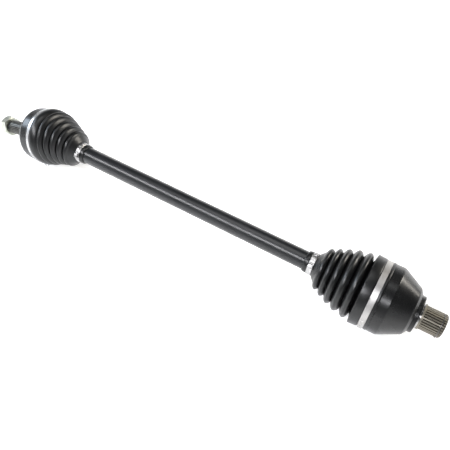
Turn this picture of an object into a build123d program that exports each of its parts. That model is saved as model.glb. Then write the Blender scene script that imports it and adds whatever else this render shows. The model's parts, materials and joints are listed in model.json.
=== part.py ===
from build123d import *
import math
import os

# CV axle (half-shaft) of an off-road vehicle. Units are millimetres.
# +X runs along the bar towards the inner (differential) end, +Z is up,
# and the origin is at the middle of the bar, half way between the joint centres.
# The outer (wheel) joint rests drooped by outer_droop, as it hangs when nothing holds it.

# ---- driving dimensions: layout ----
joint_span = 632.0          # distance between the two joint centres
outer_droop = 14.0          # degrees that the outer joint hangs down at rest
bar_r = 14.2                # bare shaft radius

# ---- driving dimensions: clearances and small features ----
running_gap = 0.05          # radial gap of sliding spheres and windows
track_gap = 0.15            # gap between a ball and its track
seat_gap = 0.05             # gap between pieces that are fitted together
soft_gap = 0.10             # gap under the rubber boots
ball_count = 6
edge_break = 0.6            # chamfer on machined ends

# ---- driving dimensions: bar ends ----
bar_spline_r = 13.0         # major radius of the toothed ends
bar_spline_depth = 1.0
bar_spline_teeth = 24
bar_tip = 6.0               # how far the bar stands out of each race
clip_groove_r = 11.6
clip_width = 1.8
clip_r = 15.0
boot_groove_depth = 0.4

# ---- driving dimensions: teeth, as shares of the tooth step ----
tooth_tip_half = 0.24       # half width of a tooth at its tip
tooth_root_half = 0.10      # half width of the flat between teeth

# ---- driving dimensions: outer joint (fixed, ball type) ----
outer_ball_r = 9.5
outer_pitch_r = 30.5        # radius of the circle of ball centres
outer_race_r = 27.9         # sphere on the inner race
outer_cage_wall = 4.4
outer_race_half = 12.0
outer_cage_half = 14.0
outer_half_angle = 19.8     # largest tilt of the cage in each of the two members
outer_side_play = 1.40      # half of the extra width of the tracks
outer_mouth = 17.0          # mouth of the bell, from the joint centre
outer_mouth_r = 38.5        # radius of the opening at the mouth
outer_mouth_cone = 9.0      # depth of the cone at the mouth
outer_track_front = 50.0    # degrees that a track in the bell runs on towards the mouth
race_track_angle = 60.0     # degrees that a track on a race runs to each side
outer_bell_r = 47.0
outer_boot_seat_r = 46.0
outer_seat_end = 1.0        # where the seat of the boot stops
outer_round_start = -16.5   # the bell's back starts to slope here
outer_back = -33.5          # back face of the bell
outer_back_r = 27.0
outer_back_rounding = 12.0  # the bell's back meets its cylinder
outer_edge_rounding = 3.0
outer_lip_rounding = 1.2
hub_face = -40.0            # shoulder that the wheel bearing seats on
hub_face_r = 20.0
stub_root_r = 14.5
outer_spline_start = -47.0
outer_spline_end = -92.0
outer_spline_r = 12.3
outer_spline_depth = 1.1
outer_spline_teeth = 26
outer_neck_r = 11.2         # turned relief behind and under the spline
outer_relief = 2.0          # length of the slope from the relief up to the root
thread_r = 11.0             # M22 thread
thread_pitch = 1.5
thread_depth = 0.85
thread_end = -114.5
thread_flank = 0.4          # share of the pitch from a crest down to the root
thread_crest = 0.25         # share of the pitch that is flat at the crest

# ---- driving dimensions: axle nut ----
nut_flats = 32.0
nut_height = 14.0
nut_face = -97.0            # inner face of the nut
nut_collar_r = 15.2
nut_collar = 1.2
nut_chamfer = 0.6           # slope of the chamfered corners

# ---- driving dimensions: inner joint (plunging, ball type) ----
inner_ball_r = 10.0
inner_pitch_r = 33.0
inner_race_r = 30.6
inner_cage_wall = 4.6
inner_race_half = 13.0
inner_cage_half = 14.5
inner_half_angle = 12.5
inner_side_play = 0.62
plunge = 8.0                # travel of the housing each way
inner_mouth = -28.5
inner_boot_seat_r = 49.0
inner_seat_end = -3.5
inner_bell_r = 51.9
inner_corner = 9.8          # the bell's cylinder ends and its cone starts
inner_cone_end = 40.2
inner_cone_r = 35.7
inner_step_r = 30.0
inner_shoulder = 44.0       # start of the shoulder ring
inner_shoulder_r = 27.6
inner_shoulder_end = 50.5
journal_r = 19.0            # polished ring that the oil seal runs on
journal_end = 56.0
inner_spline_end = 86.3
inner_spline_r = 17.6
inner_spline_depth = 1.3
inner_spline_teeth = 29
inner_spline_chamfer = 2.0
inner_corner_rounding = 3.0
inner_cone_rounding = 4.0
inner_shoulder_rounding = 1.5
inner_core_gap = 0.2        # the stub's core lies this far below the tooth roots
stub_ring_at = 81.0         # snap ring near the end of the splined stub
stub_ring_wire = 1.0
stub_ring_gap = 25.0        # degrees between the ring's ends
stub_ring_turn = 205.0      # where the gap is, round the axle from +Y towards +Z
stub_ring_tab = 2.2         # bent end of the ring
stop_ring_at = -26.4        # wire ring that keeps the balls in the bell
stop_ring_wire = 0.8
stop_ring_gap = 20.0        # degrees between the ring's ends

# ---- driving dimensions: boots (distances from the joint centre towards the bar) ----
boot_wall = 2.2
outer_collar_start = 2.0
outer_collar_end = 20.5
outer_crests = [(31.0, 46.5), (40.2, 42.6), (49.4, 38.7), (58.6, 34.8), (67.8, 31.0)]   # (distance, radius)
outer_valley_drop = 4.6     # how much lower a valley is than the crest after it
outer_neck_start = 79.5
outer_neck_end = 94.0
inner_lip_start = 3.8
inner_collar_start = 18.0
inner_collar_end = 31.0
inner_collar_r = 53.6
inner_collar_step = 0.5     # length of the step up to the thick part of the collar
inner_crests = [(40.7, 51.0), (56.4, 48.0), (70.0, 43.4), (82.4, 37.8), (93.0, 33.0)]
inner_valley_drop = 6.0
inner_neck_start = 105.5
inner_neck_end = 122.0

# ---- driving dimensions: boot clamps ----
band = 0.9
outer_large_clamp_at = 9.0
outer_large_clamp_width = 6.0
inner_large_clamp_at = -12.8
inner_large_clamp_width = 8.6
small_clamp_width = 8.0
outer_small_clamp_at = 83.5
inner_small_clamp_at = -110.3
ear_height = 4.2
ear_length = 8.0
outer_large_ear = 138.0     # where the ears are, in degrees round the axle from +Z towards -Y
inner_large_ear = 138.0
outer_small_ear = 60.0
inner_small_ear = 40.0
tail_length = 33.0          # length of band that the tail laps, ahead of the ear
hook_count = 3
hook_first = 14.0           # length of band from the ear to the first hook
hook_step = 6.5
hook_length = 3.0
hook_height = 1.3

# ---- worked out from the driving dimensions ----
half_span = joint_span / 2
outer_sphere_r = outer_race_r + running_gap + outer_cage_wall
outer_bore_r = outer_sphere_r + running_gap
inner_sphere_r = inner_race_r + running_gap + inner_cage_wall
inner_bore_r = inner_sphere_r + running_gap
outer_tip = outer_race_half + bar_tip
inner_tip = inner_race_half + bar_tip
neck_r = bar_r + boot_wall

os.makedirs("parts", exist_ok=True)
parts = {}


def turned(outline, rounds=()):
    """A solid turned about X from (x, radius) points; rounds lists (corner, radius)."""
    face = make_face(Polyline(*outline, close=True))
    for corner, radius in rounds:
        nearest = face.vertices().sort_by_distance((corner[0], corner[1], 0))[0]
        face = fillet(nearest, radius)
    return revolve(face, Axis.X, 360)


def tube(start, end, inner, outer):
    """A plain ring about X."""
    return turned([(start, inner), (end, inner), (end, outer), (start, outer)])


def rod(start, end, radius):
    """A plain round bar about X."""
    return turned([(start, 0), (end, 0), (end, radius), (start, radius)])


def domed_bore(start, end, radius):
    """Round room about X that ends in half a sphere past end."""
    diagonal = radius / math.sqrt(2)
    dome = ThreePointArc((end, radius), (end + diagonal, diagonal), (end + radius, 0))
    wall = Polyline((end + radius, 0), (start, 0), (start, radius), (end, radius))
    return revolve(make_face([dome, *wall.edges()]), Axis.X, 360)


def toothed(start, end, radius, depth, teeth):
    """A splined bar about X: flat-topped teeth with sloping sides."""
    step = 2 * math.pi / teeth
    points = []
    for tooth in range(teeth):
        for share, r in ((-tooth_tip_half, radius), (tooth_tip_half, radius),
                         (0.5 - tooth_root_half, radius - depth), (0.5 + tooth_root_half, radius - depth)):
            angle = (tooth + share) * step
            points.append((r * math.cos(angle), r * math.sin(angle)))
    section = Plane.YZ * make_face(Polyline(*points, close=True))
    return Pos(start, 0, 0) * extrude(section, end - start)


def around(shape, number):
    """The shape, drawn on +Z, turned about X to its place among the balls."""
    return Rot(number * 360 / ball_count, 0, 0) * shape


def arc_track(pitch_r, ball_r, side_play, back_angle, front_angle):
    """Room for a ball on +Z that rolls about the joint centre, from -X to +X."""
    slot = Plane.YZ * Pos(0, pitch_r) * SlotCenterToCenter(2 * side_play, 2 * (ball_r + track_gap))
    return revolve(Rot(0, -back_angle, 0) * slot, Axis.Y, back_angle + front_angle)


def straight_track(pitch_r, ball_r, side_play, start, end):
    """Room for a ball on +Z that rolls along X as far as end; it closes with a sloping wall."""
    room = ball_r + track_gap
    slope = room * (math.sqrt(2) - 1)
    slot = Plane.YZ * Pos(0, pitch_r) * SlotCenterToCenter(2 * side_play, 2 * room)
    run = Pos(start, 0, 0) * extrude(slot, end + room - start)
    closing = turned([(start - 1, 0), (end + room, 0), (end + room, pitch_r + slope),
                      (end + slope, pitch_r + room), (end, pitch_r + 2 * room),
                      (start - 1, pitch_r + 2 * room)])
    return run & closing


def race(sphere_r, half, pitch_r, ball_r, side_play):
    """Inner race: a truncated ball with arc tracks and a splined bore."""
    body = Sphere(sphere_r) & rod(-half, half, sphere_r)
    for number in range(ball_count):
        body -= around(arc_track(pitch_r, ball_r, side_play, race_track_angle, race_track_angle), number)
    bore = toothed(-half, half, bar_spline_r + seat_gap, bar_spline_depth, bar_spline_teeth)
    return body - bore


def cage(inner_r, outer_r, half, ball_r, side_play):
    """Spherical cage with a window for each ball."""
    ring = (Sphere(outer_r) - Sphere(inner_r)) & tube(-half, half, 1.0, outer_r + 1)
    width = 2 * (ball_r + running_gap)
    length = 2 * (ball_r + side_play)
    window = Pos(0, 0, outer_r) * extrude(RectangleRounded(width, length, ball_r / 2), outer_r, both=True)
    window &= Pos(0, 0, outer_r) * Box(2 * outer_r, 2 * outer_r, 2 * outer_r)
    for number in range(ball_count):
        ring -= around(window, number)
    return ring


def race_clip(side):
    """Open retaining ring in the groove of the bar's tip; side is +1 or -1."""
    ring = tube(-clip_width / 2, clip_width / 2, clip_groove_r + seat_gap, clip_r)
    gap = Pos(0, 0, -clip_r) * Box(2 * clip_width, clip_groove_r / 2, 2 * clip_r - clip_groove_r)
    return Pos(side * (bar_tip / 2), 0, 0) * (ring - gap)


def wire_ring(at, radius, wire, gap_angle, turn, tab):
    """Open ring of round wire about X; tab is the length of its bent end, if it has one."""
    section = Plane.XY * Pos(0, radius) * Circle(wire)
    ring = revolve(section, Axis.X, 360 - gap_angle)
    if tab > 0:
        ring += Pos(0, radius + tab / 2, 0) * Rot(90, 0, 0) * Cylinder(wire, tab)
    return Pos(at, 0, 0) * Rot(turn + gap_angle / 2, 0, 0) * ring


def clamp(at, width, seat_r, angle):
    """Band clamp: a ring, a lapped tail with pressed hooks, and a crimped ear."""
    inner = seat_r + seat_gap
    ring = tube(-width / 2, width / 2, inner, inner + band)
    half = width / 2 - band
    tail_angle = math.degrees(tail_length / inner)
    tail = revolve(Plane.XZ * Pos(0, inner + band) * Rectangle(2 * half, band), Axis.X, tail_angle)
    tail = Rot(-tail_angle, 0, 0) * tail
    hook = Pos(0, 0, inner + 1.5 * band) * Box(width / 2, hook_length, hook_height)
    for number in range(hook_count):
        turn = math.degrees((hook_first + number * hook_step) / inner)
        tail += Rot(-turn, 0, 0) * hook
    leg = 1.1 * band
    outer_ear = Box(width - 2 * band, ear_length, ear_height)
    outer_ear = fillet(outer_ear.edges().filter_by(Axis.X), leg)
    inner_ear = Pos(0, 0, -leg) * Box(width, ear_length - 2 * leg, ear_height)
    ear = Pos(0, 0, inner + ear_height / 2) * (outer_ear - inner_ear)
    ear -= rod(-width, width, inner)
    return Pos(at, 0, 0) * Rot(angle, 0, 0) * (ring + tail + ear)


# ---- where each group stands ----
outer_bar_side = Pos(-half_span, 0, 0)
outer_mid = Pos(-half_span, 0, 0) * Rot(0, -outer_droop / 2, 0)
outer_wheel_side = Pos(-half_span, 0, 0) * Rot(0, -outer_droop, 0)
inner_side = Pos(half_span, 0, 0)


def make_bar():
    """The shaft with its splined ends, clip grooves and boot grooves."""
    outer_step = -half_span + outer_race_half
    inner_step = half_span - inner_race_half
    groove_r = bar_r - boot_groove_depth
    outer_groove = (-half_span + outer_neck_start, -half_span + outer_neck_end)
    inner_groove = (half_span - inner_neck_end, half_span - inner_neck_start)
    outline = [(outer_step, 0), (inner_step, 0), (inner_step, bar_r)]
    for start, end in (inner_groove, outer_groove):
        outline += [(end, bar_r), (end, groove_r), (start, groove_r), (start, bar_r)]
    outline += [(outer_step, bar_r)]
    bar = turned(outline)
    for step, tip in ((outer_step, -half_span - outer_tip), (inner_step, half_span + inner_tip)):
        teeth = toothed(min(step, tip), max(step, tip), bar_spline_r, bar_spline_depth, bar_spline_teeth)
        blank = rod(min(step, tip), max(step, tip), bar_spline_r)
        blank = chamfer(blank.edges().sort_by(Axis.X)[0 if tip < 0 else -1], edge_break)
        groove_at = tip - math.copysign(bar_tip / 2, tip)
        groove_half = clip_width / 2 + seat_gap
        groove = tube(groove_at - groove_half, groove_at + groove_half, clip_groove_r, bar_spline_r + 1)
        bar += (teeth & blank) - groove
    return bar


def thread_outline():
    """Ring-shaped ridges from the end of the outer stub up to its spline."""
    root_r = thread_r - thread_depth
    outline = [(thread_end, 0), (thread_end, root_r)]
    ring_count = int((outer_spline_end - thread_end) / thread_pitch) - 1
    for ring in range(ring_count):
        crest = thread_end + thread_pitch * (ring + 1 - thread_crest)
        outline += [(crest, thread_r), (crest + thread_crest * thread_pitch, thread_r),
                    (crest + (thread_crest + thread_flank) * thread_pitch, root_r)]
    return outline + [(outer_spline_end, root_r), (outer_spline_end, outer_neck_r)]


def make_outer_housing():
    """Bell with six arc tracks, bearing shoulder, splined stub and thread."""
    outline = thread_outline()
    outline += [(outer_spline_start, outer_neck_r), (outer_spline_start + outer_relief, stub_root_r)]
    outline += [(hub_face, stub_root_r), (hub_face, hub_face_r), (outer_back, outer_back_r)]
    outline += [(outer_round_start, outer_bell_r), (outer_seat_end, outer_bell_r)]
    outline += [(outer_seat_end, outer_boot_seat_r), (outer_mouth, outer_boot_seat_r), (outer_mouth, 0)]
    bell = turned(outline, [((outer_round_start, outer_bell_r), outer_back_rounding),
                            ((outer_back, outer_back_r), outer_edge_rounding),
                            ((outer_mouth, outer_boot_seat_r), outer_lip_rounding)])
    start = outer_spline_start + outer_relief / 2
    teeth = toothed(outer_spline_end, start, outer_spline_r, outer_spline_depth, outer_spline_teeth)
    blank = rod(outer_spline_end, start, outer_spline_r)
    bell += teeth & chamfer(blank.edges().sort_by(Axis.X)[0], 2 * edge_break)
    bell -= Sphere(outer_bore_r)
    cone_start = outer_mouth - outer_mouth_cone
    cone_start_r = math.sqrt(outer_bore_r ** 2 - cone_start ** 2) - 10 * running_gap
    bell -= turned([(cone_start, 0), (outer_mouth + 1, 0), (outer_mouth + 1, outer_mouth_r),
                    (cone_start, cone_start_r)])
    back_angle = outer_half_angle + math.degrees(math.asin((outer_ball_r + track_gap) / outer_pitch_r))
    track = arc_track(outer_pitch_r, outer_ball_r, outer_side_play, back_angle, outer_track_front)
    for number in range(ball_count):
        bell -= around(track, number)
    return bell


def make_nut():
    """Hexagon nut with chamfered corners and a round seating collar."""
    corner_r = nut_flats / 2 / math.cos(math.pi / 6)
    prism = extrude(Plane.YZ * RegularPolygon(corner_r, 6), nut_height)
    slope = (corner_r - nut_flats / 2) * nut_chamfer
    blank = turned([(0, 0), (nut_height, 0), (nut_height, nut_flats / 2), (nut_height - slope, corner_r),
                    (slope, corner_r), (0, nut_flats / 2)])
    nut = Pos(nut_face - nut_height, 0, 0) * (prism & blank)
    nut += rod(nut_face - 1, nut_face + nut_collar, nut_collar_r)
    nut -= rod(nut_face - nut_height, nut_face + nut_collar, thread_r + seat_gap)
    return nut


def make_inner_housing():
    """Bell with six straight tracks, cone, shoulder, seal journal and splined stub."""
    core_r = inner_spline_r - inner_spline_depth - inner_core_gap
    outline = [(inner_mouth, 0), (inner_mouth, inner_boot_seat_r), (inner_seat_end, inner_boot_seat_r)]
    outline += [(inner_seat_end, inner_bell_r), (inner_corner, inner_bell_r), (inner_cone_end, inner_cone_r)]
    outline += [(inner_shoulder, inner_step_r), (inner_shoulder, inner_shoulder_r)]
    outline += [(inner_shoulder_end, inner_shoulder_r), (inner_shoulder_end, journal_r)]
    outline += [(journal_end, journal_r)]
    outline += [(journal_end, core_r), (inner_spline_end - 1, core_r), (inner_spline_end - 1, 0)]
    bell = turned(outline, [((inner_corner, inner_bell_r), inner_corner_rounding),
                            ((inner_cone_end, inner_cone_r), inner_cone_rounding),
                            ((inner_shoulder_end, inner_shoulder_r), inner_shoulder_rounding)])
    teeth = toothed(journal_end, inner_spline_end, inner_spline_r, inner_spline_depth, inner_spline_teeth)
    blank = rod(journal_end, inner_spline_end, inner_spline_r)
    bell += teeth & chamfer(blank.edges().sort_by(Axis.X)[-1], inner_spline_chamfer)
    groove_half = stub_ring_wire + seat_gap
    bell -= tube(stub_ring_at - groove_half, stub_ring_at + groove_half,
                 inner_spline_r - 2 * stub_ring_wire, inner_spline_r + 1)
    bell -= domed_bore(inner_mouth - 1, plunge, inner_bore_r)
    reach = plunge + inner_pitch_r * math.sin(math.radians(inner_half_angle)) + track_gap
    track = straight_track(inner_pitch_r, inner_ball_r, inner_side_play, inner_mouth - 1, reach)
    for number in range(ball_count):
        bell -= around(track, number)
    groove_half = stop_ring_wire + seat_gap
    bell -= tube(stop_ring_at - groove_half, stop_ring_at + groove_half,
                 inner_bore_r - 1, inner_bore_r + stop_ring_wire / 2 + groove_half)
    return bell


def bellows(stations, toward_bar, droop, bend_start, bend_end):
    """Rubber shell lofted through rings; a station is (distance, outer radius, inner radius).

    The rings lie square to the axle's centre line, which bends by droop degrees
    between bend_start and bend_end.
    """
    def skin(rings):
        sections = []
        for distance, radius in rings:
            share = min(1.0, max(0.0, (distance - bend_start) / (bend_end - bend_start)))
            tilt = droop * (1 - share * share * (3 - 2 * share))
            ring = Plane.YZ * Circle(radius)
            sections.append(Rot(0, -tilt, 0) * Pos(toward_bar * distance, 0, 0) * ring)
        return loft(sections, ruled=True)

    outer = skin([(distance, outer_r) for distance, outer_r, inner_r in stations])
    inner_rings = [(distance, inner_r) for distance, outer_r, inner_r in stations]
    first = (inner_rings[0][0] - 1, inner_rings[0][1])
    last = (inner_rings[-1][0] + 1, inner_rings[-1][1])
    return outer - skin([first, *inner_rings[1:-1], last])


def folds(start, crests, drop):
    """Stations of the crests and of the valley ahead of each crest; start is where the first flank begins."""
    stations = []
    before = start
    for crest, crest_r in crests:
        valley_r = crest_r - drop
        stations.append(((before + crest) / 2, valley_r, valley_r - boot_wall))
        stations.append((crest, crest_r, crest_r - boot_wall))
        before = crest
    return stations


def make_outer_boot():
    """Boot of the outer joint: collar on the bell, folds, and neck on the bar."""
    seat = outer_boot_seat_r + soft_gap
    neck = bar_r + soft_gap
    stations = [(outer_collar_start, seat + boot_wall, seat), (outer_collar_end, seat + boot_wall, seat)]
    stations += folds(outer_collar_end, outer_crests, outer_valley_drop)
    stations += [(outer_neck_start, neck + boot_wall, neck), (outer_neck_end, neck + boot_wall, neck)]
    return bellows(stations, 1, outer_droop, outer_collar_end, outer_neck_start)


def make_inner_boot():
    """Boot of the inner joint: thick collar on the bell, folds, and neck on the bar."""
    seat = inner_boot_seat_r + soft_gap
    neck = bar_r + soft_gap
    stations = [(inner_lip_start, seat + boot_wall, seat), (inner_collar_start, seat + boot_wall, seat),
                (inner_collar_start + inner_collar_step, inner_collar_r, seat),
                (-inner_mouth + soft_gap, inner_collar_r, seat),
                (inner_collar_end - 1, inner_collar_r, seat - 2 * boot_wall),
                (inner_collar_end, inner_collar_r - 1, seat - 3 * boot_wall)]
    stations += folds(inner_collar_end, inner_crests, inner_valley_drop)
    stations += [(inner_neck_start, neck + boot_wall, neck), (inner_neck_end, neck + boot_wall, neck)]
    return bellows(stations, -1, 0, inner_collar_end, inner_neck_start)


# ---- shaft ----
parts["axle_bar"] = make_bar()

# ---- outer joint ----
outer_ball = Pos(0, 0, outer_pitch_r) * Sphere(outer_ball_r)
parts["outer_joint_housing"] = outer_wheel_side * make_outer_housing()
parts["axle_nut"] = outer_wheel_side * make_nut()
parts["outer_joint_race"] = outer_bar_side * race(
    outer_race_r, outer_race_half, outer_pitch_r, outer_ball_r, outer_side_play)
parts["outer_joint_cage"] = outer_mid * cage(
    outer_race_r + running_gap, outer_sphere_r, outer_cage_half, outer_ball_r, outer_side_play)
parts["outer_race_clip"] = outer_bar_side * Pos(-outer_race_half, 0, 0) * race_clip(-1)
for number in range(ball_count):
    parts[f"outer_ball_{number + 1}"] = outer_mid * around(outer_ball, number)
parts["outer_boot"] = outer_bar_side * make_outer_boot()
outer_seat = outer_boot_seat_r + soft_gap + boot_wall
parts["outer_boot_clamp_large"] = outer_wheel_side * clamp(
    outer_large_clamp_at, outer_large_clamp_width, outer_seat, outer_large_ear)
parts["outer_boot_clamp_small"] = outer_bar_side * clamp(
    outer_small_clamp_at, small_clamp_width, neck_r + soft_gap, outer_small_ear)

# ---- inner joint ----
inner_ball = Pos(0, 0, inner_pitch_r) * Sphere(inner_ball_r)
parts["inner_joint_housing"] = inner_side * make_inner_housing()
parts["inner_joint_race"] = inner_side * race(
    inner_race_r, inner_race_half, inner_pitch_r, inner_ball_r, inner_side_play)
parts["inner_joint_cage"] = inner_side * cage(
    inner_race_r + running_gap, inner_sphere_r, inner_cage_half, inner_ball_r, inner_side_play)
parts["inner_race_clip"] = inner_side * Pos(inner_race_half, 0, 0) * race_clip(1)
for number in range(ball_count):
    parts[f"inner_ball_{number + 1}"] = inner_side * around(inner_ball, number)
parts["inner_ball_stop_ring"] = inner_side * wire_ring(
    stop_ring_at, inner_bore_r + stop_ring_wire / 2, stop_ring_wire, stop_ring_gap, 0, 0)
parts["inner_stub_snap_ring"] = inner_side * wire_ring(
    stub_ring_at, inner_spline_r - stub_ring_wire + seat_gap, stub_ring_wire, stub_ring_gap,
    stub_ring_turn, stub_ring_tab)
parts["inner_boot"] = inner_side * make_inner_boot()
inner_seat = inner_boot_seat_r + soft_gap + boot_wall
parts["inner_boot_clamp_large"] = inner_side * clamp(
    inner_large_clamp_at, inner_large_clamp_width, inner_seat, inner_large_ear)
parts["inner_boot_clamp_small"] = inner_side * clamp(
    inner_small_clamp_at, small_clamp_width, neck_r + soft_gap, inner_small_ear)

for name, shape in parts.items():
    export_step(shape, f"parts/{name}.step")
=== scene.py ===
import json
import math
import bmesh
import bpy
from mathutils import Matrix, Vector


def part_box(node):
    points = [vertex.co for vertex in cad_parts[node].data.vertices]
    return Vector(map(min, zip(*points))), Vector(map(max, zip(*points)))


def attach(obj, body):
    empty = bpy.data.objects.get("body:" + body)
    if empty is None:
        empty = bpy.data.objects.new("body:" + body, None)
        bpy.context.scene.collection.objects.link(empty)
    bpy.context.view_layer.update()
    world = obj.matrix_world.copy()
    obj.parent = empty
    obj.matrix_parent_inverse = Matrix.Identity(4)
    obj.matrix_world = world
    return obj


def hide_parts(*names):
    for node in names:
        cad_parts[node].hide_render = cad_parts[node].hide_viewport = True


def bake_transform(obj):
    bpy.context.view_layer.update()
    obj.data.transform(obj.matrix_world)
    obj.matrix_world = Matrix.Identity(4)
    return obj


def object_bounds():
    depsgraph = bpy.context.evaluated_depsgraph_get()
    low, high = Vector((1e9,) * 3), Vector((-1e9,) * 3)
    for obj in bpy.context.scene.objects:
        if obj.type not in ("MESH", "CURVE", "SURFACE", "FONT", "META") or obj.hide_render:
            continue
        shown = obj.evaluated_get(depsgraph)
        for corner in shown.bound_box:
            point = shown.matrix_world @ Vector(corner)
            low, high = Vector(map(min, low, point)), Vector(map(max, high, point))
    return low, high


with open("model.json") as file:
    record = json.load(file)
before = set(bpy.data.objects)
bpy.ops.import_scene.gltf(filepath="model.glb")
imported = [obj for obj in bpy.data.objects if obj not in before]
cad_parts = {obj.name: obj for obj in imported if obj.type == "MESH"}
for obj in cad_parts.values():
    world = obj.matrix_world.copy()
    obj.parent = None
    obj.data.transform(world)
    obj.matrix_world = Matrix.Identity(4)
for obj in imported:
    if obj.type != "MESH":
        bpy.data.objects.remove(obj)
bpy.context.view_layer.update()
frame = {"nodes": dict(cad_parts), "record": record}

# The look of a CV axle: painted bar and bells, bare splined stubs, bellows boots and band clamps.
# Lengths in the tables are millimetres; MM turns them into metres.
MM = 0.001
AROUND = 144                 # points round a turned piece
FLOOR_GLOW = 0.55            # keeps the paper-white floor free of hard shadows

# ---- places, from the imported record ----
behaviour = frame["record"]["behaviour"]
joint_at = {j["name"]: Vector(j["pos_m"]) for j in behaviour["joints"] if "pos_m" in j}
outer_centre = joint_at["outer_pitch"]
inner_centre = joint_at["inner_pitch"]
mount_axis = {m["name"]: Vector(m["axis"]) for m in frame["record"]["mounts"]}
stub_axis = mount_axis["hub_spline"]
DROOP = math.atan2(-stub_axis.z, -stub_axis.x)      # how far the outer joint hangs down
BAR_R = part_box("axle_bar")[1].z / MM
NECK_R = BAR_R + 2.3         # outside of a boot's neck under its clamp


# =====================================================================
# materials
# =====================================================================
MIX_SHARE, MIX_A, MIX_B, MIX_COLOUR = 0, 6, 7, 2     # sockets of a Mix node that mixes colours


class Graph:
    """A node material built by short calls; every call returns an output socket."""

    def __init__(self, name, **sockets):
        self.material = bpy.data.materials.new(name)
        self.material.use_nodes = True
        self.tree = self.material.node_tree
        self.shader = next(n for n in self.tree.nodes if n.type == "BSDF_PRINCIPLED")
        for key, value in sockets.items():
            self.shader.inputs[key.replace("_", " ")].default_value = value

    def node(self, kind, inputs=(), **settings):
        made = self.tree.nodes.new(kind)
        for key, value in settings.items():
            setattr(made, key, value)
        for key, value in inputs:
            self.put(made.inputs[key], value)
        return made

    def put(self, socket, value):
        if isinstance(value, bpy.types.NodeSocket):
            self.tree.links.new(value, socket)
        else:
            socket.default_value = value

    def maths(self, operation, a, b=0.0):
        return self.node("ShaderNodeMath", [(0, a), (1, b)], operation=operation).outputs[0]

    def local(self, centre=(0, 0, 0), lean=0.0):
        """Object coordinates seen from a joint's centre, along its own axis."""
        seen = self.node("ShaderNodeTexCoord").outputs["Object"]
        moved = self.node("ShaderNodeMapping", [("Vector", seen)], vector_type="TEXTURE")
        moved.inputs["Location"].default_value = centre
        moved.inputs["Rotation"].default_value = (0, lean, 0)
        return moved.outputs[0]

    def cylinder(self, point):
        """(distance along, angle round, distance from the axis) of a point."""
        parts = self.node("ShaderNodeSeparateXYZ", [(0, point)]).outputs
        angle = self.maths("ARCTAN2", parts[2], parts[1])
        squares = self.maths("ADD", self.maths("MULTIPLY", parts[1], parts[1]),
                             self.maths("MULTIPLY", parts[2], parts[2]))
        return parts[0], angle, self.maths("SQRT", squares)

    def vector(self, x, y, z):
        return self.node("ShaderNodeCombineXYZ", [(0, x), (1, y), (2, z)]).outputs[0]

    def noise(self, point, scale, detail=3.0, roughness=0.55):
        made = self.node("ShaderNodeTexNoise", [("Vector", point), ("Scale", scale), ("Detail", detail),
                                                ("Roughness", roughness)])
        return made.outputs[0]

    def spread(self, value, low, high, to_low=0.0, to_high=1.0):
        made = self.node("ShaderNodeMapRange", [("Value", value), ("From Min", low), ("From Max", high),
                                                ("To Min", to_low), ("To Max", to_high)])
        return made.outputs[0]

    def blend(self, share, a, b):
        made = self.node("ShaderNodeMix", data_type="RGBA")
        for socket, value in ((MIX_SHARE, share), (MIX_A, a), (MIX_B, b)):
            self.put(made.inputs[socket], value)
        return made.outputs[MIX_COLOUR]

    def surface(self, **sockets):
        for key, value in sockets.items():
            self.put(self.shader.inputs[key.replace("_", " ")], value)

    def bump(self, height, strength, distance):
        made = self.node("ShaderNodeBump", [("Height", height), ("Strength", strength), ("Distance", distance)])
        self.put(self.shader.inputs["Normal"], made.outputs[0])


def grey(value, warmth=0.0):
    """An opaque colour near grey; warmth above 0 leans to yellow, below 0 to blue."""
    return (value * (1 + warmth), value, value * (1 - warmth), 1.0)


def paint(name, base, gloss, centre, lean, blue):
    """Black enamel with orange peel and faint scuffs; returns the graph and what its users build on."""
    g = Graph(name, Coat_Weight=0.35, Coat_Roughness=0.24)
    point = g.local(centre, lean)
    along, angle, radius = g.cylinder(point)
    cloud = g.noise(point, 38.0, 4.0)
    fine = g.noise(point, 1400.0, 2.0)
    scratch = g.vector(g.maths("MULTIPLY", along, 60.0), g.maths("MULTIPLY", angle, 2.2), radius)
    scuff = g.noise(scratch, 5.0, 6.0, 0.7)
    worn = g.spread(scuff, 0.66, 0.80)
    colour = g.blend(cloud, grey(base * 0.75, blue), grey(base * 1.35, blue))
    colour = g.blend(g.maths("MULTIPLY", worn, 0.35), colour, grey(0.055, 0.02))
    rough = g.maths("ADD", g.spread(cloud, 0.3, 0.7, gloss - 0.04, gloss + 0.05),
                    g.maths("MULTIPLY", worn, 0.10))
    return g, along, angle, radius, fine, colour, rough


def shaft_paint():
    """The bar's enamel, with faint marks of turning under it."""
    g, along, angle, _, fine, colour, rough = paint("shaft_paint", 0.006, 0.36, (0, 0, 0), 0.0, -0.20)
    turning = g.noise(g.vector(g.maths("MULTIPLY", along, 900.0), angle, 0.0), 1.0, 2.0)
    g.surface(Base_Color=colour, Roughness=rough)
    g.bump(g.maths("ADD", fine, g.maths("MULTIPLY", turning, 0.6)), 0.05, 0.00004)
    return g.material


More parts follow.
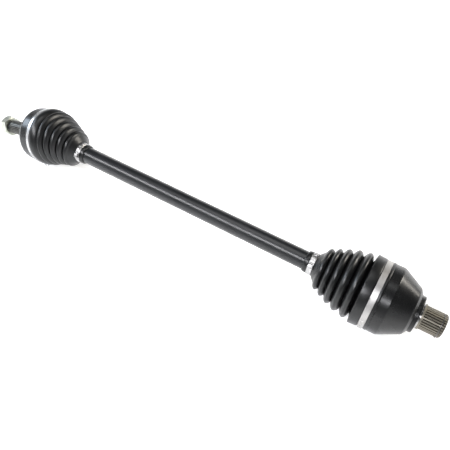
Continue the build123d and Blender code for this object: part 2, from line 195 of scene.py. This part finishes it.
def bell_paint(name, centre, lean, bare_from, bare_side, root, tip, spline_tone, tip_lightening, journal=None):
    """Gloss black bell; past bare_from the stub is phosphated, its colour lighter towards the tooth tips."""
    g, along, angle, radius, fine, colour, rough = paint(name, 0.005, 0.27, centre, lean, -0.05)
    outward = g.maths("MULTIPLY", along, bare_side)
    bare = g.maths("GREATER_THAN", outward, bare_from * MM)
    streak = g.noise(g.vector(g.maths("MULTIPLY", along, 30.0), g.maths("MULTIPLY", angle, 40.0),
                              g.maths("MULTIPLY", radius, 300.0)), 1.0, 4.0)
    grain = g.noise(g.local(centre, lean), 700.0, 3.0)
    dark, light = spline_tone
    metal = g.blend(g.spread(streak, 0.25, 0.75), dark, light)
    # The stub's colour grows lighter from the tooth roots out to the tips.
    toward_tips = g.spread(radius, root * MM, tip * MM)
    metal = g.blend(g.maths("MULTIPLY", toward_tips, tip_lightening), metal, (0.28, 0.26, 0.215, 1.0))
    metal_rough = g.spread(grain, 0.3, 0.7, 0.34, 0.52)
    if journal:                  # a ground band between two distances, below a radius
        start, end, limit = journal
        inside = g.maths("MULTIPLY", g.maths("GREATER_THAN", outward, start * MM),
                         g.maths("LESS_THAN", outward, end * MM))
        low = g.maths("LESS_THAN", radius, limit * MM)
        inside = g.maths("MULTIPLY", inside, low)
        lines = g.noise(g.vector(g.maths("MULTIPLY", along, 2600.0), angle, 0.0), 1.0, 3.0)
        polish = g.blend(lines, grey(0.30, 0.02), grey(0.50, 0.01))
        metal = g.blend(inside, metal, polish)
        metal_rough = g.maths("ADD", g.maths("MULTIPLY", g.maths("SUBTRACT", 1.0, inside), metal_rough),
                              g.maths("MULTIPLY", inside, 0.20))
    whole = g.blend(bare, colour, metal)
    whole_rough = g.maths("ADD", g.maths("MULTIPLY", g.maths("SUBTRACT", 1.0, bare), rough),
                          g.maths("MULTIPLY", bare, metal_rough))
    g.surface(Base_Color=whole, Roughness=whole_rough, Metallic=bare)
    g.shader.inputs["Coat Weight"].default_value = 0.0
    g.bump(g.maths("ADD", fine, g.maths("MULTIPLY", grain, bare)), 0.12, 0.00008)
    return g.material


def metal(name, centre, lean, dark, light, rough, lines=0.0, speckle=0.0):
    """Bare metal; lines are fine marks round the axle, speckle is plating grain."""
    g = Graph(name, Metallic=1.0)
    point = g.local(centre, lean)
    along, angle, _ = g.cylinder(point)
    brushed = g.noise(g.vector(g.maths("MULTIPLY", along, 2400.0), g.maths("MULTIPLY", angle, 1.5), 0.0),
                      1.0, 4.0)
    cloud = g.noise(point, 90.0, 5.0)
    fine = g.noise(point, 1800.0, 2.0)
    tone = g.maths("ADD", g.maths("MULTIPLY", brushed, lines), g.maths("MULTIPLY", cloud, 1.0 - lines))
    g.surface(Base_Color=g.blend(g.spread(tone, 0.3, 0.7), dark, light),
              Roughness=g.spread(cloud, 0.25, 0.75, rough - 0.05, rough + 0.08))
    g.bump(g.maths("ADD", g.maths("MULTIPLY", brushed, lines), g.maths("MULTIPLY", fine, speckle)),
           0.18, 0.00008)
    return g.material


def rubber(name, centre, lean):
    """Moulded thermoplastic rubber: fine grain, flow marks round the axle, a trace of dust."""
    g = Graph(name, IOR=1.52)
    point = g.local(centre, lean)
    along, angle, radius = g.cylinder(point)
    cloud = g.noise(point, 55.0, 5.0, 0.6)
    grain = g.noise(point, 1600.0, 3.0)
    flow = g.noise(g.vector(g.maths("MULTIPLY", along, 300.0), g.maths("MULTIPLY", angle, 3.0),
                            g.maths("MULTIPLY", radius, 300.0)), 1.0, 4.0)
    dust = g.spread(cloud, 0.58, 0.82, 0.0, 0.35)
    colour = g.blend(flow, grey(0.003, -0.10), grey(0.006, -0.06))
    colour = g.blend(dust, colour, grey(0.014, 0.03))
    g.surface(Base_Color=colour, Roughness=g.spread(cloud, 0.25, 0.8, 0.27, 0.37))
    g.bump(g.maths("ADD", grain, g.maths("MULTIPLY", flow, 0.5)), 0.22, 0.00010)
    return g.material


def stage_white():
    """A near-white floor that glows a little."""
    g = Graph("pale_floor", Roughness=0.9)
    point = g.local()
    g.surface(Base_Color=g.blend(g.noise(point, 2.0, 3.0), grey(0.88), grey(0.90)))
    g.shader.inputs["Emission Color"].default_value = (1.0, 1.0, 1.0, 1.0)
    g.shader.inputs["Emission Strength"].default_value = FLOOR_GLOW
    return g.material


# =====================================================================
# mesh tools
# =====================================================================
def mesh_object(name, points, faces, material, sharp=40.0):
    """A smooth-shaded object whose edges above that angle stay sharp."""
    mesh = bpy.data.meshes.new(name)
    mesh.from_pydata([tuple(p) for p in points], [], faces)
    shape = bmesh.new()
    shape.from_mesh(mesh)
    bmesh.ops.recalc_face_normals(shape, faces=shape.faces)
    shape.to_mesh(mesh)
    shape.free()
    mesh.polygons.foreach_set("use_smooth", [True] * len(mesh.polygons))
    mesh.set_sharp_from_angle(angle=math.radians(sharp))
    mesh.materials.append(material)
    piece = bpy.data.objects.new(name, mesh)
    bpy.context.scene.collection.objects.link(piece)
    return piece


def frame_at(centre, lean, distance):
    """Place and directions of a ring square to an axis that leans in the XZ plane."""
    axis = Vector((math.cos(lean), 0, math.sin(lean)))
    side = Vector((0, -1, 0))
    up = Vector((-math.sin(lean), 0, math.cos(lean)))
    return centre + axis * distance, axis, side, up


def swept_ring(name, loop, place, material, sharp=40.0, turn=1.0, start=0.0):
    """Closed outline (distance, radius) carried round; place(distance) gives each ring's frame."""
    whole = turn >= 1.0
    steps = AROUND if whole else max(8, int(AROUND * turn))
    columns = steps if whole else steps + 1
    points = []
    faces = []
    for k in range(columns):
        angle = start + 2 * math.pi * turn * k / steps
        for distance, radius in loop:
            at, axis, side, up = place(distance)
            points.append(at + (side * math.sin(angle) + up * math.cos(angle)) * radius * MM)
    n = len(loop)
    for k in range(steps):
        a = k * n
        b = ((k + 1) % columns) * n
        for i in range(n):
            j = (i + 1) % n
            faces.append((a + i, a + j, b + j, b + i))
    if not whole:
        faces.append(tuple(reversed(range(n))))
        faces.append(tuple(steps * n + i for i in range(n)))
    return mesh_object(name, points, faces, material, sharp)


def join(name, pieces):
    """One object from several, with their materials."""
    bpy.ops.object.select_all(action="DESELECT")
    for piece in pieces:
        piece.select_set(True)
    bpy.context.view_layer.objects.active = pieces[0]
    bpy.ops.object.join()
    pieces[0].name = name
    return pieces[0]


# =====================================================================
# boots
# =====================================================================
def smooth(share):
    """Smoothstep of a share, held between 0 and 1."""
    share = min(1.0, max(0.0, share))
    return share * share * (3 - 2 * share)


def flank(low, high, fullness, steps=12):
    """Points from a valley up to a crest: tight at the valley, round at the crest."""
    points = []
    for k in range(steps):
        share = 0.5 - 0.5 * math.cos(math.pi * k / steps)
        rise = math.sin(0.5 * math.pi * share) ** fullness
        points.append((low[0] + (high[0] - low[0]) * share, low[1] + (high[1] - low[1]) * rise))
    return points


def fold_line(valleys, crests, fullness):
    """Outline from the first valley over each crest to the last valley."""
    line = []
    for number, crest in enumerate(crests):
        line += flank(valleys[number], crest, fullness)
        line += [crest]
        line += reversed(flank(valleys[number + 1], crest, fullness)[1:])
    line += [valleys[-1]]
    return line


def shell(line, wall):
    """Closed outline of a skin of that wall under the line."""
    under = [(distance, max(radius - wall, BAR_R + 0.15)) for distance, radius in reversed(line)]
    return line + under


def cut_line(line, start, end):
    """The part of a line from one distance to another, ends included."""
    return [p for p in line if start - 1e-6 <= p[0] <= end + 1e-6]


def outer_place(distance):
    """Frame of a ring of the outer boot: the axle's centre line bends between collar and neck."""
    lean = DROOP * (1 - smooth((distance - OUTER_BEND[0]) / (OUTER_BEND[1] - OUTER_BEND[0])))
    return frame_at(outer_centre, lean, distance * MM)


def inner_place(distance):
    """Frame of a ring of the inner boot; distances grow towards the bar."""
    at, axis, side, up = frame_at(inner_centre, 0.0, -distance * MM)
    return at, -axis, side, up


OUTER_BEND = (20.5, 79.5)
BOOT_WALL = 2.0
outer_crests = [(31.0, 46.6), (40.2, 42.8), (49.4, 38.8), (58.6, 35.0), (67.8, 31.2)]
outer_valleys = [(26.4, 42.0), (35.8, 38.6), (45.0, 34.6), (54.2, 30.8), (63.4, 27.2), (71.4, 27.8)]
outer_collar = [(2.0, 46.9), (2.2, 47.9), (2.8, 48.5), (4.6, 48.7), (5.6, 48.5), (5.9, 48.3),
                (12.6, 48.3), (12.9, 48.6), (14.0, 49.3), (16.5, 49.4), (19.0, 48.9), (21.5, 47.7),
                (23.6, 46.0), (25.2, 44.0)]
outer_neck = [(73.0, 26.6), (75.5, 23.4), (77.6, 20.8), (79.0, 19.2), (79.5, 17.8), (79.8, NECK_R),
              (87.2, NECK_R), (87.6, NECK_R + 0.3), (88.4, NECK_R + 0.5), (91.5, NECK_R + 0.2),
              (93.6, NECK_R - 0.4), (94.3, NECK_R - 0.9),
              (94.5, NECK_R - 1.5)]
outer_line = outer_collar + fold_line(outer_valleys, outer_crests, 0.62) + outer_neck

inner_crests = [(40.7, 51.2), (56.4, 48.2), (70.0, 43.6), (82.4, 38.0), (93.0, 33.0)]
inner_valleys = [(34.2, 40.0), (48.8, 40.0), (63.6, 37.0), (76.6, 32.0), (88.0, 27.6), (98.2, 26.0)]
inner_collar = [(3.8, 49.8), (3.9, 51.6), (4.4, 52.2), (5.4, 52.5), (6.8, 52.5), (7.8, 52.2),
                (8.2, 51.4), (17.2, 51.4), (17.5, 51.8), (18.0, 52.7), (19.0, 52.9),
                (24.0, 53.2), (29.8, 53.5), (30.8, 53.4), (31.4, 52.8), (32.0, 49.6), (32.9, 44.5)]
inner_neck = [(100.0, 24.0), (102.6, 21.2), (104.6, 19.2), (105.6, 17.8), (106.1, NECK_R), (114.5, NECK_R),
              (114.9, NECK_R + 0.3), (115.8, NECK_R + 0.5), (118.8, NECK_R + 0.2),
              (121.0, NECK_R - 0.4), (121.8, NECK_R - 0.9),
              (122.0, NECK_R - 1.5)]
inner_line = inner_collar + fold_line(inner_valleys, inner_crests, 0.60) + inner_neck


def boot(names, line, cuts, place, material, bends, node):
    """A boot in pieces cut across its folds, in place of the CAD boot."""
    for number, name in enumerate(names):
        part = cut_line(line, cuts[number], cuts[number + 1])
        piece = swept_ring(name, shell(part, BOOT_WALL), place, material, sharp=50.0)
        near, far = bends[number]
        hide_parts(node)
        near_at, near_axis = place(near)[:2]
        far_at, far_axis = place(far)[:2]
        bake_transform(piece)


boot_rubber_outer = rubber("boot_rubber_outer", outer_centre, -DROOP / 2)
boot_rubber_inner = rubber("boot_rubber_inner", inner_centre, 0.0)

boot(["outer_boot_dome", "outer_boot_folds", "outer_boot_neck"], outer_line,
     [2.0, 31.0, 49.4, 94.5], outer_place, boot_rubber_outer,
     [(14.0, 28.5), (33.5, 47.0), (52.0, 73.0)], "outer_boot")
boot(["inner_boot_collar", "inner_boot_wide_folds", "inner_boot_folds", "inner_boot_neck"], inner_line,
     [3.8, 48.8, 56.4, 76.6, 122.0], inner_place, boot_rubber_inner,
     [(31.4, 48.8), (48.8, 56.4), (56.4, 76.6), (76.6, 95.0)], "inner_boot")


# =====================================================================
# band clamps
# =====================================================================
def rounded_box(start, end, low, high, bevel):
    """Outline (distance, radius) of a strip's section with broken corners."""
    return [(start, low + bevel), (start, high - bevel), (start + bevel, high), (end - bevel, high),
            (end, high - bevel), (end, low + bevel), (end - bevel, low), (start + bevel, low)]


def rounded_path(points, steps=5):
    """Smooth curve through points (Catmull-Rom)."""
    curve = []
    for k in range(len(points) - 1):
        p0 = points[max(k - 1, 0)]
        p1, p2 = points[k], points[k + 1]
        p3 = points[min(k + 2, len(points) - 1)]
        for s in range(steps):
            t = s / steps
            curve.append(tuple(0.5 * (2 * b + (c - a) * t + (2 * a - 5 * b + 4 * c - d) * t * t
                                      + (3 * b - a - 3 * c + d) * t ** 3)
                               for a, b, c, d in zip(p0, p1, p2, p3)))
    curve.append(points[-1])
    return curve


def strip(name, path, width, thick, ring, angle, material):
    """Bent strip: path gives (along the round, radius); width is across, thickness inwards."""
    centre, axis, side, up = ring
    out = side * math.sin(angle) + up * math.cos(angle)
    round_way = side * math.cos(angle) - up * math.sin(angle)
    half = width / 2
    edge = 0.18 * thick          # broken corner
    points = []
    for k, (u, r) in enumerate(path):
        before = path[max(k - 1, 0)]
        after = path[min(k + 1, len(path) - 1)]
        du, dr = after[0] - before[0], after[1] - before[1]
        size = math.hypot(du, dr)
        nu, nr = -dr / size, du / size
        for across, depth in ((-half, edge), (-half + edge, 0), (half - edge, 0), (half, edge),
                              (half, thick - edge), (half - edge, thick), (-half + edge, thick),
                              (-half, thick - edge)):
            points.append(centre + axis * across * MM + out * (r - nr * depth) * MM
                          + round_way * (u - nu * depth) * MM)
    n = len(points) // len(path)
    faces = [tuple(range(n)), tuple((len(path) - 1) * n + i for i in reversed(range(n)))]
    for k in range(len(path) - 1):
        for i in range(n):
            j = (i + 1) % n
            faces.append((k * n + i, k * n + j, (k + 1) * n + j, (k + 1) * n + i))
    return mesh_object(name, points, faces, material, 35.0)


BAND = 0.9                   # thickness of a clamp's band
LAP_TO_EAR = 7.0             # from the lap's end to the ear's middle
HOOK_FIRST, HOOK_STEP, HOOKS = 4.5, 6.0, 3
# Along the round and above the band: one pressed hook, and one side of the crimped ear.
HOOK = [(-1.7, 0.45), (-1.25, 1.05), (-0.5, 1.3), (0.5, 1.3), (1.25, 1.05), (1.7, 0.45)]
EAR_SIDE = [(-6.0, 0.5), (-4.6, 0.55), (-3.7, 1.1), (-3.5, 2.0), (-3.8, 2.9), (-2.9, 3.7), (-1.4, 3.5)]
EAR = EAR_SIDE + [(0.0, 3.2)] + [(-u, rise) for u, rise in reversed(EAR_SIDE)]


def clamp(name, place, at, width, radius, ear_angle, lap_length, material, body, node):
    """Stainless band clamp: band, lapped tail with pressed hooks, and a crimped ear."""
    top = radius + BAND
    ring = place(at)
    band = swept_ring(name, rounded_box(at - width / 2, at + width / 2, radius, top, 0.22), place, material,
                      sharp=30.0)
    lap_turn = math.degrees(lap_length / radius)
    lap_start = math.radians(ear_angle - lap_turn - math.degrees(LAP_TO_EAR / radius))
    section = rounded_box(at - width / 2 + 0.9, at + width / 2 - 0.9, top - 0.1, top + 0.55, 0.2)
    lap = swept_ring(name + "_lap", section, place, material, sharp=30.0, turn=lap_turn / 360, start=lap_start)
    made = [band, lap]
    for number in range(HOOKS):
        bridge = [(u, top + rise) for u, rise in HOOK]
        spot = lap_start + (HOOK_FIRST + HOOK_STEP * number) / radius
        made.append(strip(f"{name}_hook{number}", rounded_path(bridge, 3), width * 0.42, 0.5, ring, spot,
                          material))
    ear = [(u, top + rise) for u, rise in EAR]
    made.append(strip(name + "_ear", rounded_path(ear, 4), width - 1.6, 0.8, ring, math.radians(ear_angle),
                      material))
    whole = join(name, made)
    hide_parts(node)
    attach(whole, body)


band_outer = metal("band_steel_outer", outer_centre, -DROOP, grey(0.50, 0.0), grey(0.74, 0.0), 0.30, lines=0.7)
band_inner = metal("band_steel_inner", inner_centre, 0.0, grey(0.40, 0.03), grey(0.62, 0.02), 0.42, lines=0.7)
band_small = metal("band_steel_small", inner_centre, 0.0, grey(0.44, 0.01), grey(0.66, 0.01), 0.34, lines=0.7)
clamp("outer_clamp_large", outer_place, 9.0, 6.0, 48.35, 138.0, 36.0, band_outer,
      "wheel_end", "outer_boot_clamp_large")
clamp("outer_clamp_small", outer_place, 83.5, 8.0, NECK_R + 0.05, 60.0, 20.0, band_small,
      "shaft", "outer_boot_clamp_small")
clamp("inner_clamp_large", inner_place, 12.8, 8.6, 51.35, 138.0, 44.0, band_inner,
      "differential_end", "inner_boot_clamp_large")
clamp("inner_clamp_small", inner_place, 110.3, 8.0, NECK_R + 0.05, 40.0, 20.0, band_small,
      "shaft", "inner_boot_clamp_small")


# =====================================================================
# materials of the CAD nodes
# =====================================================================
def dress(nodes, material):
    """Give CAD nodes a material; their shapes stay as they are."""
    for node in nodes:
        owner = frame["nodes"][node]
        for own_slot in owner.material_slots:
            own_slot.material = material


dress(["axle_bar"], shaft_paint())
dress(["outer_joint_housing"], bell_paint("outer_bell_paint", outer_centre, -DROOP, 40.0, -1.0, 10.8, 12.3,
                                          (grey(0.03, -0.15), grey(0.09, -0.08)), 0.35))
dress(["inner_joint_housing"], bell_paint("inner_bell_paint", inner_centre, 0.0, 50.8, 1.0, 16.2, 17.6,
                                          ((0.014, 0.012, 0.010, 1.0), (0.085, 0.078, 0.064, 1.0)), 0.85,
                                          journal=(50.8, 53.2, 19.3)))
dress(["axle_nut"], metal("zinc_plate", outer_centre, -DROOP, (0.46, 0.48, 0.42, 1.0),
                          (0.70, 0.72, 0.64, 1.0), 0.30, speckle=0.8))
ground = metal("ground_steel_parts", (0, 0, 0), 0.0, grey(0.36), grey(0.60), 0.26, lines=0.6)
dress(["outer_joint_race", "outer_joint_cage", "inner_joint_race", "inner_joint_cage"], ground)
dress([f"{side}_ball_{k}" for side in ("outer", "inner") for k in range(1, 7)],
      metal("ball_polish", (0, 0, 0), 0.0, grey(0.66), grey(0.80), 0.10))
dress(["outer_race_clip", "inner_race_clip", "inner_ball_stop_ring", "inner_stub_snap_ring"],
      metal("spring_wire", (0, 0, 0), 0.0, grey(0.10, 0.05), grey(0.22, 0.05), 0.38))


# =====================================================================
# stage, lights, camera
# =====================================================================
FLOOR_HALF = 6.0
FLOOR_GAP = 0.0005           # keeps the lowest point clear of the floor
floor_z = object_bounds()[0].z - FLOOR_GAP
corners = [(-1, -1), (1, -1), (1, 1), (-1, 1)]
floor = mesh_object("floor", [(x * FLOOR_HALF, y * FLOOR_HALF, floor_z) for x, y in corners], [(0, 1, 2, 3)],
                    stage_white())


def softbox(name, place, aim, size, power, colour=(1.0, 1.0, 1.0)):
    """A rectangular soft light that faces a point."""
    data = bpy.data.lights.new(name, "AREA")
    data.shape = "RECTANGLE"
    data.size, data.size_y = size
    data.energy = power
    data.color = colour
    lamp = bpy.data.objects.new(name, data)
    lamp.location = place
    lamp.rotation_euler = (Vector(aim) - Vector(place)).to_track_quat("-Z", "Y").to_euler()
    bpy.context.scene.collection.objects.link(lamp)


softbox("top_light", (-0.3, 0.3, 2.0), (0.0, 0.0, 0.0), (1.4, 1.0), 9.0)
softbox("strip_light", (-0.7, -0.86, 1.35), (-0.5, 0.0, 0.0), (2.4, 0.26), 36.0, (0.96, 0.96, 1.0))
softbox("warm_light", (1.25, 1.45, 0.95), (0.0, 0.0, 0.0), (0.7, 1.1), 24.0, (1.0, 0.95, 0.86))
softbox("cool_light", (-2.2, -0.2, 0.9), (-0.3, 0.0, 0.0), (0.8, 0.6), 16.0, (0.74, 0.86, 1.0))

# White walls near the horizon and a dimmer ceiling, so that steep edges catch light and tops stay dark.
world = bpy.data.worlds.new("soft_studio")
world.use_nodes = True
tree = world.node_tree
sky = tree.nodes["Background"]
looking = tree.nodes.new("ShaderNodeTexCoord")
height = tree.nodes.new("ShaderNodeSeparateXYZ")
fade = tree.nodes.new("ShaderNodeMapRange")
fade.interpolation_type = "SMOOTHSTEP"
for key, value in (("From Min", 0.05), ("From Max", 0.50), ("To Min", 0.95), ("To Max", 0.10)):
    fade.inputs[key].default_value = value
tree.links.new(looking.outputs["Generated"], height.inputs[0])
tree.links.new(height.outputs[2], fade.inputs["Value"])
tree.links.new(fade.outputs[0], sky.inputs[1])
sky.inputs[0].default_value = (0.97, 0.98, 1.0, 1.0)
bpy.context.scene.world = world
bpy.context.scene.view_settings.view_transform = "Standard"

CAMERA_AT = Vector((0.2976, -0.4069, 0.6492))
CAMERA_RIGHT = Vector((0.85797, 0.51374, 0.0))
CAMERA_UP = Vector((-0.41690, 0.69633, 0.5843))
CAMERA_AHEAD = Vector((-0.30017, 0.50131, -0.8116))
lens = bpy.data.cameras.new("camera")
lens.sensor_width = 36.0
lens.lens = 40.96
lens.clip_start = 0.01
camera = bpy.data.objects.new("camera", lens)
rows = [(CAMERA_RIGHT[i], CAMERA_UP[i], -CAMERA_AHEAD[i], CAMERA_AT[i]) for i in range(3)]
camera.matrix_world = Matrix([*rows, (0, 0, 0, 1)])
bpy.context.scene.collection.objects.link(camera)
bpy.context.scene.camera = camera
